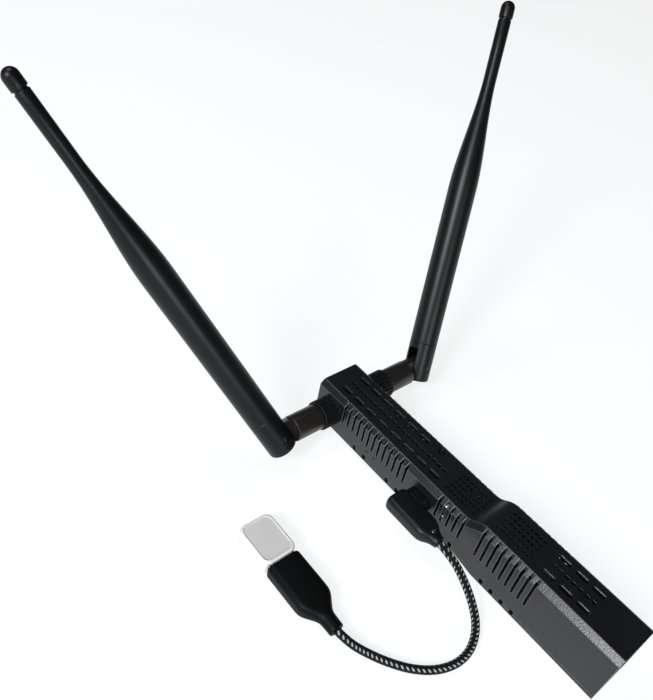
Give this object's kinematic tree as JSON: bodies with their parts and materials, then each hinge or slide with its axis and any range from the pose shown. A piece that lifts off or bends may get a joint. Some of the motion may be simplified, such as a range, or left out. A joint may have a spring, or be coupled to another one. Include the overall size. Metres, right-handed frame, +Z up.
{
  "type": "smart home radio hub",
  "caption": "Slim black radio hub with a stepped vented case, swivelling antennas at one end, a network jack at the other and a short braided USB lead with a capped connector.",
  "frame": {"origin": "middle of the width on the flat underside of the thick section, 30 mm in from the near end", "axes": "+Z up, +Y along the case towards the antenna end, -X the side with the USB socket"},
  "size_m": [0.2243, 0.238, 0.162],
  "materials": {
    "case_plastic": "fine spark-eroded texture",
    "screw_steel": "black-oxide screws",
    "foot_rubber": "matt",
    "circuit_board": "solder mask",
    "tinned_steel": "plain tin plate",
    "black_moulding": "moulded",
    "gold_contacts": "gold flash",
    "capacitor_can": "bare can",
    "led_white": "clear epoxy",
    "clear_pipe": "clear acrylic",
    "button_plastic": "moulded",
    "cord_overmould": "satin",
    "cord_braid": "braided, with pale flecks",
    "connector_insert": "moulded",
    "cap_plastic": "polished",
    "jack_brass": "gold plated",
    "nut_plating": "plated",
    "washer_rubber": "matt",
    "antenna_plastic": "satin",
    "barrel_plastic": "smooth",
    "pin_steel": "plain",
    "coax_jacket": "smooth"
  },
  "bodies": {
    "hub": {"bottom_shell": "case_plastic", "top_cover": "case_plastic", "case_screws": "screw_steel", "rear_feet": "foot_rubber", "main_board": "circuit_board", "network_jack_shield": "tinned_steel", "network_jack_insert": "black_moulding", "usb_socket_shell": "tinned_steel", "network_transformer": "black_moulding", "power_transformer": "black_moulding", "power_capacitors": "capacitor_can", "controller_module": "circuit_board", "controller_shield": "tinned_steel", "first_radio_module": "circuit_board", "first_radio_shield": "tinned_steel", "second_radio_module": "circuit_board", "second_radio_shield": "tinned_steel", "status_led": "led_white", "light_pipe": "clear_pipe", "mode_switch": "black_moulding", "usb_socket_tongue": "black_moulding", "network_jack_contacts": "gold_contacts", "usb_plug_shell": "tinned_steel", "usb_plug_body": "cord_overmould", "usb_cord": "cord_braid", "usb_connector_body": "cord_overmould", "usb_connector_shell": "tinned_steel", "usb_connector_block": "connector_insert", "left_antenna_jack": "jack_brass", "left_jack_washer": "washer_rubber", "left_jack_nut": "nut_plating", "left_collar": "antenna_plastic", "left_coax_lead": "coax_jacket", "right_antenna_jack": "jack_brass", "right_jack_washer": "washer_rubber", "right_jack_nut": "nut_plating", "right_collar": "antenna_plastic", "right_coax_lead": "coax_jacket"},
    "mode_button": {"mode_button": "button_plastic"},
    "connector_cap": {"connector_cap": "cap_plastic"},
    "left_swivel": {"left_barrel": "barrel_plastic"},
    "left_antenna": {"left_hinge_pin": "pin_steel", "left_paddle": "antenna_plastic", "left_tip_cap": "antenna_plastic", "left_radiator": "jack_brass"},
    "right_swivel": {"right_barrel": "barrel_plastic"},
    "right_antenna": {"right_hinge_pin": "pin_steel", "right_paddle": "antenna_plastic", "right_tip_cap": "antenna_plastic", "right_radiator": "jack_brass"}
  },
  "joints": [
    {"name": "mode_button_press", "type": "slide", "parent": "hub", "child": "mode_button", "axis": [0, 0, -1], "range_m": [0, 0.0004], "stiffness_N_per_m": 800, "springref_m": -0.0003},
    {"name": "connector_cap_pull", "type": "slide", "parent": "hub", "child": "connector_cap", "axis": [0, 1, 0], "range_m": [0, 0.02]},
    {"name": "left_swivel_turn", "type": "hinge", "parent": "hub", "child": "left_swivel", "pos_m": [-0.0287, 0.1225, 0.014], "axis": [-1, 0, 0], "range_deg": [-116.5, 58.5]},
    {"name": "left_antenna_tilt", "type": "hinge", "parent": "left_swivel", "child": "left_antenna", "pos_m": [-0.0437, 0.1225, 0.014], "axis": [0, 0.8526, -0.5225], "range_deg": [-68.1, 21.9]},
    {"name": "right_swivel_turn", "type": "hinge", "parent": "hub", "child": "right_swivel", "pos_m": [0.0287, 0.1225, 0.014], "axis": [-1, 0, 0], "range_deg": [-106.8, 68.2]},
    {"name": "right_antenna_tilt", "type": "hinge", "parent": "right_swivel", "child": "right_antenna", "pos_m": [0.0437, 0.1225, 0.014], "axis": [0, -0.9285, 0.3714], "range_deg": [-66.7, 23.3]}
  ]
}
